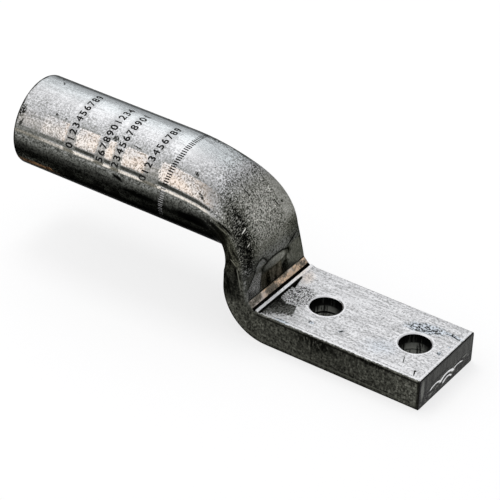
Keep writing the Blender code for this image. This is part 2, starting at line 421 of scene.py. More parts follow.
# Skins the rings. Each corner of a face keeps its place on the straight tube, as
# (length along the tube, across, up), so that a pattern follows the bend.
def loft(name, rings, materials, capSlots=(0, 0), wallSlots=None):
    form = bmesh.new()
    placeLayer = form.loops.layers.float_vector.new("tubePlace")
    loops = [[form.verts.new(point) for point in points] for points in rings]
    count = len(loops[0])
    crowns = [crownOf(points) for points in rings]
    lengths = [0]
    for near, far in zip(crowns, crowns[1:]):
        lengths.append(lengths[-1] + (Vector(far[2]) - Vector(near[2])).length)
    places = []
    for points, length, (middle, part, _) in zip(rings, lengths, crowns):
        steps = [(Vector(points[(i + 1) % count]) - Vector(points[i])).length for i in range(count)]
        total = sum(steps)
        walked = -sum(steps[:middle]) - steps[middle] * part
        row = []
        for step in steps:
            angle = 2 * pi * walked / total
            row.append((length, barrelRadius * cos(angle), barrelRadius * sin(angle)))
            walked += step
        places.append(row)
    for j, (near, far) in enumerate(zip(loops, loops[1:])):
        for i in range(count):
            k = (i + 1) % count
            face = form.faces.new((near[i], near[k], far[k], far[i]))
            face.material_index = (wallSlots or {}).get(j, 0)
            around = places[j][i], places[j][k], places[j + 1][k], places[j + 1][i]
            for corner, place in zip(face.loops, around):
                corner[placeLayer] = place
    for cap, row, slot in ((loops[0], places[0], capSlots[0]), (loops[-1], places[-1], capSlots[1])):
        face = form.faces.new(cap)
        face.material_index = slot
        for corner, place in zip(face.loops, row):
            corner[placeLayer] = place
    bmesh.ops.recalc_face_normals(form, faces=form.faces)
    mesh = bpy.data.meshes.new(name)
    form.to_mesh(mesh)
    form.free()
    for material in materials:
        mesh.materials.append(material)
    return addObject(name, mesh)


def makeSkin(materials):
    top, under = sideLines()
    sections = bendSections(top, under)
    start = sections[0][1][0]
    mouthX = start + lug["lead"] - lug["barrelLength"]
    breakWidth = lug["mouthBreak"]
    steps, flats = lug["cornerSteps"], lug["flatSteps"]
    rings = [roundRing(mouthX, barrelRadius - breakWidth, steps, flats),
             roundRing(mouthX + breakWidth / 2, barrelRadius - breakWidth * lug["mouthCurl"], steps, flats)]
    plain = round((start - mouthX - breakWidth) / lug["sectionSpacing"])
    rings += [roundRing(mix(mouthX + breakWidth, start, i / plain), barrelRadius, steps, flats)
              for i in range(plain)]
    rings += [skinRing(*section) for section in sections]
    # the crease pressed into the pad along the toe, the lip it raised, then the flat pad, whose sections
    # straighten up by its end
    thickness, heelX = lug["padThickness"], under["toe"][0]
    crease, lip, width, foot = lug["creaseWidth"], lug["lipHeight"], lug["lipWidth"], lug["lipFoot"]
    for ahead, lift in ((crease * lug["creaseFloor"], -lug["creaseDepth"]), (crease, lip),
                        (crease + lug["creaseGap"], lip * lug["lipBack"]),
                        (crease + width * foot[0], lip * foot[1]), (crease + width, 0)):
        rings.append(skinRing(3, (toeX + ahead, thickness + lift), (heelX + ahead, 0)))
    first, last = crease + width + lug["padGap"], padEnd - lug["endBreak"]
    flatCount = round((last - toeX) / lug["padSpacing"])
    for i in range(flatCount + 1):
        share = i / flatCount
        rings.append(skinRing(4, (mix(toeX + first, last, share), thickness),
                              (mix(heelX + first, last, share), 0)))
    rings.append(skinRing(4, (padEnd, thickness - lug["endBreak"]), (padEnd, lug["endBreak"]), lug["endBreak"]))
    return loft("lugForm", rings, materials[:3], (1, 2), {0: 1, len(rings) - 2: 2}), sections, mouthX


def makeBoreCutter(sections, mouthX, material):
    over, flare, steps = lug["cutterReach"], lug["mouthLeadIn"], lug["boreSteps"]
    rings = [roundRing(x, radius, steps) for x, radius in (
        (mouthX - over, boreRadius + flare), (mouthX, boreRadius + flare), (mouthX + flare, boreRadius))]
    rings += [boreRing(*section) for section in sections[::2]]
    rings.append(boreRing(4, (padEnd + over, lug["padThickness"]), (padEnd + over, 0)))
    return loft("boreCutter", rings, [material])


def makeHoleCutter(name, x, material):
    radius = lug["holeDiameter"] / 2
    step, over, thick, count = lug["holeBreak"], lug["cutterReach"], lug["padThickness"], lug["holeRings"]
    flare = radius + step
    profile = [(flare, thick + over), (flare, thick), (radius, thick - step)]
    profile += [(radius, mix(thick - step, step, i / count)) for i in range(1, count)]
    profile += [(radius, step), (flare, 0), (flare, -over)]
    angles = [2 * pi * i / lug["holeSteps"] for i in range(lug["holeSteps"])]
    rings = [[(x + r * cos(angle), r * sin(angle), z) for angle in angles] for r, z in profile]
    return loft(name, rings, [material])


# stamped marks, made with Geometry Nodes and then cut into the skin

knurl = {"count": 110, "place": -0.0953, "tilt": 0.0032, "length": 0.0025, "width": 0.00057, "depth": 0.0003,
         "seed": 4, "tallness": 6, "turnWobble": 0.012, "placeWobble": 0.0004}


# short strokes pressed side by side round the barrel
def knurlTree(material):
    tree, given, result = newTree("ringOfStrokes", "GeometryNodeTree", {
        "Geometry": ["Geometry"], "Int": ["Count", "Seed"],
        "Float": ["Place", "Length", "Width", "Depth", "Tilt", "Bend Start", "Bend Radius", "Radius", "Height"]},
        {"Geometry": ["Geometry"]})
    tall = times(given["Depth"], knurl["tallness"])
    stroke = geo("MeshCube", {"Size": joinVector(given["Length"], given["Width"], tall)})
    lift = add(minus(given["Radius"], given["Depth"]), times(tall, 0.5))
    raised = geo("Transform", {"Geometry": stroke, "Translation": joinVector(0, 0, lift)})
    points = geo("Points", {"Count": given["Count"]})
    index = geo("InputIndex")
    turn = divide(times(index, 2 * pi), given["Count"])
    wobble = addNode("FunctionNodeRandomValue", {"ID": index, "Seed": given["Seed"]}, data_type="FLOAT")
    feed(wobble.inputs[2], -0.5)
    feed(wobble.inputs[3], 0.5)
    turned = add(turn, times(wobble.outputs[1], knurl["turnWobble"]))
    along = add(times(wobble.outputs[1], knurl["placeWobble"]), times(calc("COSINE", turned), given["Tilt"]))
    # past the bend's start the tube's top falls away, and the strokes with it
    past = highest(minus(add(given["Place"], along), given["Bend Start"]), 0)
    drop = divide(times(past, past), times(given["Bend Radius"], -2))
    moved = geo("SetPosition", {"Geometry": points, "Offset": joinVector(along, 0, drop)})
    copies = geo("InstanceOnPoints", {"Points": moved, "Instance": raised, "Rotation": joinVector(turned, 0, 0)})
    real = geo("RealizeInstances", {"Geometry": copies})
    placed = geo("Transform", {"Geometry": real, "Translation": joinVector(given["Place"], 0, given["Height"])})
    feed(result[0], geo("SetMaterial", {"Geometry": placed, "Material": material}))
    return tree


dial = {"places": (-0.145, -0.129, -0.1208, -0.1068), "tilts": (0, 0.0014, 0.0014, 0.0042),
        "starts": (0, 5, 2, 0), "turns": (-1.22, -1.26, -1.24, -1.28), "count": 10, "spacing": 0.152,
        "size": 0.0049, "bold": 0.00015, "depth": 0.00022, "thickness": 0.001, "mergeWithin": 0.000005}


# a row of plain numbers round the barrel, like the dial of a gauge, read upwards with their tops to the mouth
def dialTree(material):
    tree, given, result = newTree("dialNumbers", "GeometryNodeTree", {
        "Geometry": ["Geometry"], "Int": ["Count", "First"],
        "Float": ["Spacing", "Size", "Bold", "Depth", "Place", "Tilt", "Turn", "Radius", "Height"]},
        {"Geometry": ["Geometry"]})
    repeatIn, repeatOut = addNode("GeometryNodeRepeatInput"), addNode("GeometryNodeRepeatOutput")
    repeatIn.pair_with_output(repeatOut)
    feed(repeatIn.inputs["Iterations"], given["Count"])
    turnOf = repeatIn.outputs["Iteration"]
    spelled = addNode("FunctionNodeValueToString", {"Value": calc("MODULO", add(given["First"], turnOf), 10)})
    written = geo("StringToCurves", {"String": spelled.outputs[0], "Size": given["Size"]},
                  align_x="CENTER", align_y="MIDDLE")
    outline = geo("RealizeInstances", {"Geometry": written})
    # the outlines step outwards, so that the strokes get thicker
    outline = geo("ResampleCurve", {"Curve": outline}, mode="EVALUATED")
    outwards = vecCalc("CROSS_PRODUCT", geo("InputTangent"), (0, 0, 1))
    grown = addNode("ShaderNodeVectorMath", {"Vector": outwards, "Scale": given["Bold"]}, operation="SCALE")
    outline = geo("SetPosition", {"Geometry": outline, "Offset": grown.outputs[0]})
    face = geo("FillCurve", {"Curve": outline})
    both = addNode("GeometryNodeJoinGeometry")
    feed(both.inputs[0], geo("ExtrudeMesh", {"Mesh": face, "Offset Scale": dial["thickness"], "Individual": False}))
    feed(both.inputs[0], geo("FlipFaces", {"Mesh": face}))
    closed = geo("MergeByDistance", {"Geometry": both.outputs[0], "Distance": dial["mergeWithin"]})
    # flat text (across, up, out) to its place on the round barrel
    spot = splitVector(geo("InputPosition"))
    angle = add(times(turnOf, given["Spacing"]), given["Turn"], divide(spot["X"], given["Radius"]))
    out = add(minus(given["Radius"], given["Depth"]), spot["Z"])
    leaned = add(given["Place"], times(calc("COSINE", angle), given["Tilt"]))
    wrapped = joinVector(minus(leaned, spot["Y"]), times(calc("SINE", angle), out),
                         add(times(calc("COSINE", angle), out), given["Height"]))
    gather = addNode("GeometryNodeJoinGeometry")
    feed(gather.inputs[0], geo("SetPosition", {"Geometry": closed, "Position": wrapped}))
    feed(gather.inputs[0], repeatIn.outputs[1])
    feed(repeatOut.inputs[0], gather.outputs[0])
    real = geo("RealizeInstances", {"Geometry": repeatOut.outputs[0]})
    feed(result[0], geo("SetMaterial", {"Geometry": real, "Material": material}))
    return tree


def plainMesh(thing, name):
    depsgraph = bpy.context.evaluated_depsgraph_get()
    mesh = bpy.data.meshes.new_from_object(thing.evaluated_get(depsgraph), preserve_all_data_layers=True,
                                           depsgraph=depsgraph)
    mesh.name = name
    return mesh


def runTree(name, tree, values):
    holder = addObject(name, bpy.data.meshes.new(name))
    modifier = holder.modifiers.new(name, "NODES")
    modifier.node_group = tree
    for item in tree.interface.items_tree:
        if item.in_out == "INPUT" and item.name in values:
            modifier[item.identifier] = values[item.name]
    mesh = plainMesh(holder, name)
    bpy.data.objects.remove(holder, do_unlink=True)
    return addObject(name, mesh)


def makeStamps(strokes, numbers):
    shared = {"Radius": barrelRadius, "Height": lug["axisHeight"]}
    values = {"Bend Start": sideLines()[0]["upper"][0], "Bend Radius": lug["upperRadius"], **shared}
    for key in ("count", "place", "length", "width", "depth", "tilt", "seed"):
        values[key.title()] = knurl[key]
    stamps = [runTree("knurlRing", knurlTree(strokes), values)]
    tree = dialTree(numbers)
    for i, place in enumerate(dial["places"]):
        values = {"Place": place, "First": dial["starts"][i], "Tilt": dial["tilts"][i], "Turn": dial["turns"][i],
                  **shared}
        values.update({key.title(): dial[key] for key in ("count", "spacing", "size", "bold", "depth")})
        stamps.append(runTree("dialRow%d" % i, tree, values))
    return stamps


# shader groups that more than one finish uses

def makeStreakGroup():
    group, given, result = newTree("lengthwiseStreaks", "ShaderNodeTree", {
        "Vector": ["Place"], "Float": ["Along", "Across", "Detail"]}, {"Float": ["Streak"]})
    place = stretch(given["Place"], joinVector(given["Along"], given["Across"], given["Across"]))
    feed(result[0], noiseOf(place, 1, given["Detail"], 0.6))
    return group


def makeGrainGroup():
    group, given, result = newTree("fineGrain", "ShaderNodeTree", {
        "Vector": ["Place"], "Float": ["Fineness", "Contrast"]}, {"Float": ["Grain"]})
    swung = sway(noiseOf(given["Place"], given["Fineness"], 5, 0.7), given["Contrast"])
    feed(result[0], calc("ADD", swung, 0.5, clamp=True))
    return group


def makePitGroup():
    group, given, result = newTree("scatteredPits", "ShaderNodeTree", {
        "Vector": ["Place"], "Float": ["Spacing", "Size", "Share"]}, {"Float": ["Pit"]})
    scale = divide(1, given["Spacing"])
    cells = addNode("ShaderNodeTexVoronoi", {"Vector": given["Place"], "Scale": scale}).outputs
    chance = addNode("ShaderNodeSeparateColor", {"Color": cells["Color"]}).outputs
    size = times(given["Size"], add(chance[1], 0.4))
    inside = calc("SUBTRACT", 1, divide(cells["Distance"], size), clamp=True)
    feed(result[0], times(rise(inside, 0, 0.5), calc("LESS_THAN", chance[0], given["Share"])))
    return group


# an oval mark in two coordinates, with a ragged edge
def makeOvalGroup():
    group, given, result = newTree("ovalMark", "ShaderNodeTree", {
        "Float": ["A", "B", "Centre A", "Centre B", "Reach A", "Reach B", "Tilt", "Ragged", "Line", "Soft"]},
        {"Float": ["Inside", "Rim"]})
    a, b = minus(given["A"], given["Centre A"]), minus(given["B"], given["Centre B"])
    cosine, sine = calc("COSINE", given["Tilt"]), calc("SINE", given["Tilt"])
    u = divide(add(times(a, cosine), times(b, sine)), given["Reach A"])
    v = divide(minus(times(b, cosine), times(a, sine)), given["Reach B"])
    away = calc("SQRT", add(times(u, u), times(v, v)))
    away = add(away, sway(noiseOf(joinVector(given["A"], given["B"], 0), 0.45, 3), given["Ragged"]))
    feed(result["Inside"], calc("ADD", divide(minus(1, away), given["Soft"]), 0.5, clamp=True))
    feed(result["Rim"], calc("SUBTRACT", 1, divide(unsigned(minus(away, 1)), given["Line"]), clamp=True))
    return group


# a mask of the rounded edges, found from the normal, with ragged noise; where it is used it darkens them as wear
# and painted shade
def makeEdgeWearShadeGroup():
    group, given, result = newTree("edgeWear", "ShaderNodeTree", {
        "Vector": ["Normal", "Place"], "Float": ["Reach"]}, {"Float": ["Wear"]})
    x, y, z = [times(part, part) for part in splitVector(given["Normal"])]
    tilt = times(add(times(y, z), times(x, z), times(x, y)), 4)
    shadeShare = minus(add(tilt, sway(noiseOf(given["Place"], 0.5, 4), 1.2)), minus(1, given["Reach"]))
    feed(result[0], calc("MULTIPLY", shadeShare, 3, clamp=True))
    return group


# the drawn tube's own coordinates in mm: length along it, distance round it from its top line, and that unsigned
def makeWrapGroup():
    group, given, result = newTree("roundTheTube", "ShaderNodeTree", {"Vector": ["Place"]}, {
        "Float": ["Along", "Around", "Away"]})
    along, across, up = splitVector(given["Place"])
    around = times(calc("ARCTAN2", up, across), barrelRadius * mm)
    for label, value in (("Along", along), ("Around", around), ("Away", unsigned(around))):
        feed(result[label], value)
    return group


streakGroup, grainGroup, pitGroup = makeStreakGroup(), makeGrainGroup(), makePitGroup()
edgeWearShadeGroup, ovalGroup, wrapGroup = makeEdgeWearShadeGroup(), makeOvalGroup(), makeWrapGroup()
print("shader groups made")


# finishes

def newFinish(name):
    material = bpy.data.materials.new(name)
    material.use_nodes = True
    writing["tree"] = material.node_tree
    shader = material.node_tree.nodes["Principled BSDF"]
    spot = addNode("ShaderNodeTexCoord").outputs
    return material, shader, stretch(spot["Object"], (mm, mm, mm)), spot["Normal"]


def bumpOn(shader, height, strength, distance):
    bump = addNode("ShaderNodeBump", {"Height": height, "Strength": strength, "Distance": distance})
    feed(shader.inputs["Normal"], bump.outputs[0])


# a grey level to a metal's colour: a little green in the darks, neutral and cool in the lights
def toneColour(tone):
    tint = mixColour(rise(tone, 0, 0.5), (1, 1.03, 0.92), (0.985, 0.99, 1))
    return stretch(joinVector(tone, tone, tone), tint)


def setMetal(shader, tone, roughness, metallic=1):
    feed(shader.inputs["Base Color"], toneColour(tone))
    feed(shader.inputs["Metallic"], metallic)
    feed(shader.inputs["Roughness"], roughness)


def grainOf(place, fineness, contrast):
    return useGroup(grainGroup, {"Place": place, "Fineness": fineness, "Contrast": contrast})[0]


def streakOf(place, along, across, detail=4):
    return useGroup(streakGroup, {"Place": place, "Along": along, "Across": across, "Detail": detail})[0]


# an oval or a short stroke laid over a pair of coordinates
def oval(pair, centre, reach, tilt=0, ragged=0.2, soft=0.08, line=0.12, part="Inside"):
    return useGroup(ovalGroup, {
        "A": pair[0], "B": pair[1], "Centre A": centre[0], "Centre B": centre[1], "Reach A": reach[0],
        "Reach B": reach[1], "Tilt": tilt, "Ragged": ragged, "Soft": soft, "Line": line})[part]


# several marks as one mask
def marks(pair, rows):
    return highest(*[oval(pair, *row) for row in rows])


# from start to end, smoothly, while the value goes from low to high
def ramp(value, low, high, start, end):
    return mixValue(rise(value, low, high), start, end)


# a level that goes from low times to high times itself with a pattern
def varied(level, pattern, low, high):
    return times(level, mixValue(pattern, low, high))


# 1 on the left of the line from the first point to the second
def leftOf(pair, first, second, soft):
    run, climb = second[0] - first[0], second[1] - first[1]
    long = (run * run + climb * climb) ** 0.5
    across = times(minus(pair[1], first[1]), run / long)
    across = minus(across, times(minus(pair[0], first[0]), climb / long))
    return rise(across, -soft, soft)


# value * (1 + amount * (pattern - 0.5))
def modulate(value, pattern, amount):
    return times(value, highest(add(1, sway(pattern, amount)), 0.02))


# the light and dark seen in the photograph are painted into these tones, so they stay when the lights change
# tones by distance in mm: round the barrel from its top line, across the stamped bands, round the far side,
# along the bend's crown and its flank, and round the side's flat
formed = {
    "barrelTone": [(0, .84), (6, .84), (10, .68), (13.5, .48), (15.1, .43), (15.5, .26), (15.9, .30), (16.5, .88),
                   (21, .93), (24.2, .80), (25.1, .05), (26.3, .06), (26.8, .50), (27.3, .90), (27.9, .80),
                   (28.4, .12), (31, .085), (33.5, .035), (36, .010), (40, .028), (43, .016), (46, .006),
                   (54, .010), (65, .020)],
    "bandTone": [(0, .72), (13, .52), (16, .50), (21, .42), (25, .26), (28, .16), (31, .09), (33, .03), (37, .012),
                 (65, .020)],
    "farTone": [(-25, .28), (-20, .30), (-16.5, .12), (-14.5, .04), (-11.4, .04), (-10.2, .30), (-8.4, .36),
                (-7.4, .60), (-6.6, .96), (-3.5, .96), (-2, .90)],
    "crownTone": [(80, .78), (92, .82), (98, .80), (104, .61), (109, .37), (114, .32), (120, .41), (127, .38),
                  (133, .29), (140, .21), (146, .18), (158, .15)],
    "flankTone": [(80, .60), (90, .42), (98, .37), (104, .40), (110, .36), (116, .25), (124, .13), (132, .09),
                  (140, .10), (150, .11), (158, .12)],
    "sideEdge": [(24, .48), (28.8, .54), (29.7, .22), (60, .16)],
    "edgeTone": [(-60, .080), (-46, .054), (-30, .046), (0, .034), (20, .050), (36, .070)],
    "bands": [(27.2, 33), (43.8, 49), (52.6, 57.6), (69.4, 76)],
    "sideTone": 0.034, "underTone": 0.014, "padTone": 0.80, "facetTone": 0.55, "contactTone": 0.55,
    "edgeTint": 0.15, "darkest": 0.004, "palest": 0.96, "relief": (0.7, 0.00014)}

# colours laid over the grey metal where it is stained, dull or scuffed, and warm tints for the painted cream
# reflection and bright line on the barrel
casts = {"creamReflection": (1, 0.86, 0.74), "brightReflectionLine": (1, 0.93, 0.83), "bend": (1, 0.99, 0.91), "facet": (1, 0.75, 0.54),
         "neck": (1, 0.92, 0.82), "stain": (1, 0.86, 0.74), "dull": (1, 0.985, 0.92), "scuff": (0.88, 0.94, 1),
         "crown": (0.95, 0.995, 1), "rustDark": (0.12, 0.07, 0.05), "rustPale": (0.62, 0.40, 0.24)}

# marks as (centre, reach, tilt, raggedness, softness) in mm: along and round the tube on the barrel and bend, in
# plan on the pad, and seen from the side or the end on its edges; most are wear, some are painted light and shade:
# the dark reflection pools, the dark ridges, the fold shade and the ridge highlights
# a row that ends in "Rim" is drawn as an outline, whose width stands before that word
wearAndPaintedLight = {
    "darkDents": [((19.2, 14.6), (.8, .7), 0, .3, .5), ((24.3, 14.8), (.7, .5), .3, .3, .5),
        ((51, 14.8), (1.5, 1.3), 0, .3, .3), ((62.4, 14.9), (2.6, .28), .1, .2, .5),
        ((2.4, 18.4), (1.5, 2.8), .1, .5, .4), ((10.5, -3), (1.5, .5), .9, .3, .5),
        ((3.4, 23.6), (.7, 2), .4, .6, .5), ((7.5, -6.5), (1, .5), .9, .3, .5), ((91, 14), (1.2, 1), .4, .8, .5),
        ((95.3, 22.2), (1.7, 1.1), .3, .9, .4), ((116.4, 3.6), (4.2, .5), -.03, .5, .6),
        ((142, 29.4), (.9, 1), 0, .8, .5), ((127.8, -15), (.6, 1.2), .4, .6, .5),
        ((125, 1.6), (.5, .5), 0, .4, .5)],
    "brightNicks": [((127.9, 17.9), (2, .32), 1.35, .2, .4), ((134.7, 18.7), (1.2, .22), 1.3, .3, .4),
        ((46.5, 19), (1.2, .5), .2, .6, .5)],
    "darkReflectionPools": [((103, 32.6), (9, 2.3), .05, .6, .5), ((87, 36), (8, 2.6), -.1, .8, .6),
        ((68, 35.5), (9, 1.6), 0, .9, .8), ((57, 30.8), (3, 1), .3, .9, .8)],
    "darkRidge": ((131, 20.3), (19.5, 5.4), .2, .5, .8),
    "blackRidge": ((135.5, 20.8), (9, 3), .1, .8, .9),
    "foldShade": [((116.5, 26.4), (9.5, .65), -.21, .3, .5), ((109, 32.2), (11, 1.8), 0, .5, .5)],
    "ridgeHighlights": [((113.8, 29.2), (6.5, .45), -.22, .3, .5), ((137.5, 31), (5, .35), -.4, .4, .5),
        ((148, 29.1), (7, .35), -.05, .4, .5)],
    "neckPatches": [((156.3, -8), (3.8, 3.2), .35, .7, .6), ((156.4, 7.2), (4.4, 2), .05, .6, .5)],
    "lap": ((149.2, 12.2), (4.3, 5.9), -.2, .3, .1),
    "lapEdge": ((149.2, 12.2), (4.3, 5.9), -.2, .4, .1, .2, "Rim"),
    "neckLines": [((146.2, -17.2), (5.4, .45), 1.23, .5, .5), ((155, 13.6), (4.4, .35), .36, .4, .5),
        ((150.6, 20.4), (5.6, .3), .95, .4, .5), ((143, 0), (.4, .4), 0, .3, .5)],
    "padPale": [((-4, 13.7), (19.5, .5), 0, .3, .6), ((24, -18.6), (11, .8), .02, .4, .9),
        ((-16, 9.5), (9, 2), .2, .6, 1.2)],
    "ringMark": ((-10.3, -11.5), (4.3, 4.6), 0, .2, .1, .16, "Rim"),
    "padScuffs": [((20.5, 11.6), (8.5, 3.6), .25, .8, .5), ((31, 14), (7, 1.1), -.06, .6, .6),
        ((-7.2, -12), (1.2, .8), .8, .6, .5), ((35.2, 6), (.6, .5), 0, .4, .5),
        ((34, -.4), (.9, 1.2), .4, .7, .5), ((-20.6, -14.2), (1.4, .9), 0, .8, .5),
        ((-31, -21), (3.6, 1.1), 0, .9, .5)],
    "bluedSpot": ((12, -11), (6, 4.5), .4, 1.2, 1.4),
    "padNicks": [((32.9, -18.6), (1.9, .3), -1.2, .1, .5), ((32.4, -17), (.6, .6), 0, .2, .4),
        ((24.5, -13), (2.2, .22), -1.2, .4, .5), ((34.5, 13.2), (3.5, .28), -.2, .6, .5)],
    "roughLobe": ((-35.6, -1), (7, 7.6), 0, .4, .08),
    "toeStains": [((-40, 13), (2.6, 4), .3, .6, 1.2), ((-44.5, 13), (2, 6), 0, .6, 1.2)],
    "sideDarks": [((-13, 11.8), (9, 3.2), -.05, .8, .7), ((14, 13.6), (9, 1.2), 0, .8, .7),
        ((12, 3), (17, .3), -.02, .3, .6), ((-29.2, 6.6), (2.2, .28), -.25, .2, .5),
        ((33.6, 2.6), (.5, .5), 0, .3, .5)],
    "paleStroke": ((117.6, 1.6), (5.5, .4), -.02, .6, .8),
    "facetWorn": [((160.6, -11), (1.6, 2), 0, .8, .8), ((161.6, 13.4), (1.5, 1.8), 0, .8, .8)],
    "rustEdge": ((9, 44.2), (11, 1.5), 0, .9, 1),
    "rustSpot": ((18.8, 43.2), (1.6, 1), .3, .6, .8),
    "endDarks": [((-17.2, 10), (.7, 4.6), 0, .2, .5), ((-11.6, 10.5), (.35, 4), 0, .2, .5),
        ((.2, 11.5), (.25, 3), 0, .2, .5), ((8, 11), (.3, 3.5), 0, .2, .5), ((14, 10.5), (.3, 3.5), 0, .2, .5),
        ((-5.5, 8.3), (8.5, .6), .02, .3, .4), ((0, 14.7), (24, .9), 0, .1, .3)],
    "endPale": ((-19.6, 9), (1.2, 4.6), 0, .6, .6),
    "pressedOval": ((150.1, -.7), (2.4, 11.8), 0, .22, .06),
    "pressedRim": ((150.1, -.7), (2.4, 11.8), 0, .22, .06, .34, "Rim"),
    "endLips": [((-8.6, 4.2), (4.4, 1.9), 0, .25, .1, .24, "Rim"),
        ((.8, 3.4), (5.6, 2.9), 0, .25, .1, .24, "Rim"), ((1.4, 1.8), (3.6, 2.2), 0, .25, .1, .24, "Rim"),
        ((10, 4), (4, 1.6), 0, .25, .1, .24, "Rim")]}


# in the skins below, s is the length along the tube, arc the distance round it and away the same unsigned, all in
# mm, p is the place on the pad in mm and n the normal, and every other pattern and mask runs from 0 to 1

# the drawn barrel, painted with reflections and shade: a pale crown, a cream reflection on the flank, a dark line
# and a bright one, then a painted dark underside
def barrelSkin(tube, s, arc, away, broad, fine, speck):
    drift = add(sway(broad, 7), sway(fine, 3))
    moved = add(away, times(drift, highest(ramp(away, 28.5, 33, 0.12, 1), rise(away, 12, 6))))
    tone = curve(moved, formed["barrelTone"])
    plain = curve(moved, formed["bandTone"])
    frayed = add(s, sway(speck, 1.5))
    bands = highest(*[between(frayed, low, high, 0.35) for low, high in formed["bands"]])
    # the painted reflection lines fade out towards the mouth
    faint = add(times(rise(s, 15.5, 13.5), 0.3), times(rise(s, 27, 25), 0.6))
    # across the stamped bands, by the mouth and on the far side the painted lines give way to the plain painted
    # shade of the bands
    shadeShare = highest(bands, faint, rise(arc, -9.5, -12))
    tone = mixValue(shadeShare, tone, plain)
    # the cream band is a painted warm reflection
    creamReflection = times(between(away, 16.2, 24.6, 0.3), minus(1, shadeShare))
    tone = modulate(tone, fine, ramp(away, 14, 17, 0.8, 1.5))
    # the far side: a painted bright reflection by the crown, then a painted dark stretch
    far = times(rise(arc, -2, -3.2), rise(arc, -25, -21))
    tone = mixValue(far, tone, modulate(curve(arc, formed["farTone"]), fine, 1.8))
    rougher = ramp(away, 7, 11, 0.42, 0.9)
    tone = modulate(tone, speck, mixValue(rise(away, 29, 31), mixValue(creamReflection, rougher, 1.4), 0))
    tone = times(tone, mixValue(times(creamReflection, rise(s, 80, 94)), 1, 0.72))
    stained = times(rise(away, 38, 42), rise(s, 30, 14), rise(arc, 0, 10))
    tone = mixValue(stained, tone, varied(0.045, speck, 0.2, 1.8))
    tone = times(tone, mixValue(rise(away, 28.4, 29.5), 1, mixValue(speck, 0.3, 2.1)))
    # painted dark reflections in pools low on the flank
    tone = mixValue(marks((s, away), wearAndPaintedLight["darkReflectionPools"]), tone, formed["darkest"])
    scratch = rise(streakOf(tube, 0.12, 1.9, 2), 0.66, 0.72)
    return mixValue(times(scratch, 0.5), tone, 0.1), creamReflection


# the bend: grainy from stretching, smoother where the die pressed it, its crown and flank painted with reflections
# and shade, with a painted dark ridge of shade down its near corner
def bendSkin(s, arc, away, rub, speck, peel):
    tone = mixValue(rise(away, 8, 18), curve(s, formed["crownTone"]), curve(s, formed["flankTone"]))
    pressed = rise(s, 136, 142)
    stretched = rise(s, 96, 112)
    tone = modulate(tone, speck, mixValue(pressed, mixValue(stretched, 1.2, 1.9), 1.2))
    coarse = times(rise(s, 100, 114), ramp(away, 4, 14, 0.55, 1.8))
    tone = modulate(tone, peel, times(coarse, mixValue(pressed, 1, 0.4)))
    # the far side catches more light past the bend's middle, and less before it
    lit = times(rise(arc, -11.5, -14), between(s, 110, 136, 4))
    tone = mixValue(lit, tone, modulate(0.42, speck, 1))
    shaded = times(rise(arc, -11, -13.5), between(s, 84, 103, 5))
    tone = mixValue(shaded, tone, modulate(0.2, rub, 1.6))
    # painted shade down the near corner's ridge, broken by bright specks
    tone = mixValue(oval((s, arc), *wearAndPaintedLight["darkRidge"]), tone, ramp(peel, 0.6, 0.86, 0.004, 0.4))
    tone = mixValue(oval((s, arc), *wearAndPaintedLight["blackRidge"]), tone, ramp(peel, 0.7, 0.9, 0.004, 0.14))
    # the bend's side is painted dark as shade, a little lighter near its edge
    side = times(rise(away, 26, 28), rise(s, 92, 112))
    dark = times(formed["sideTone"], ramp(rub, 0.35, 0.65, 0.15, 2.1))
    # the side's flat starts a little further round above the neck
    shifted = minus(away, times(rise(s, 141, 133), 3))
    dark = times(dark, curve(shifted, formed["sideEdge"]), 2)
    tone = mixValue(side, tone, varied(dark, speck, 0.15, 2.4))
    # painted shade in the folds where the round tube's flank is drawn in to the neck, and painted highlights on the
    # ridges beside them
    tone = mixValue(marks((s, away), wearAndPaintedLight["foldShade"]), tone, formed["darkest"])
    return mixValue(marks((s, away), wearAndPaintedLight["ridgeHighlights"]), tone, 0.17), side


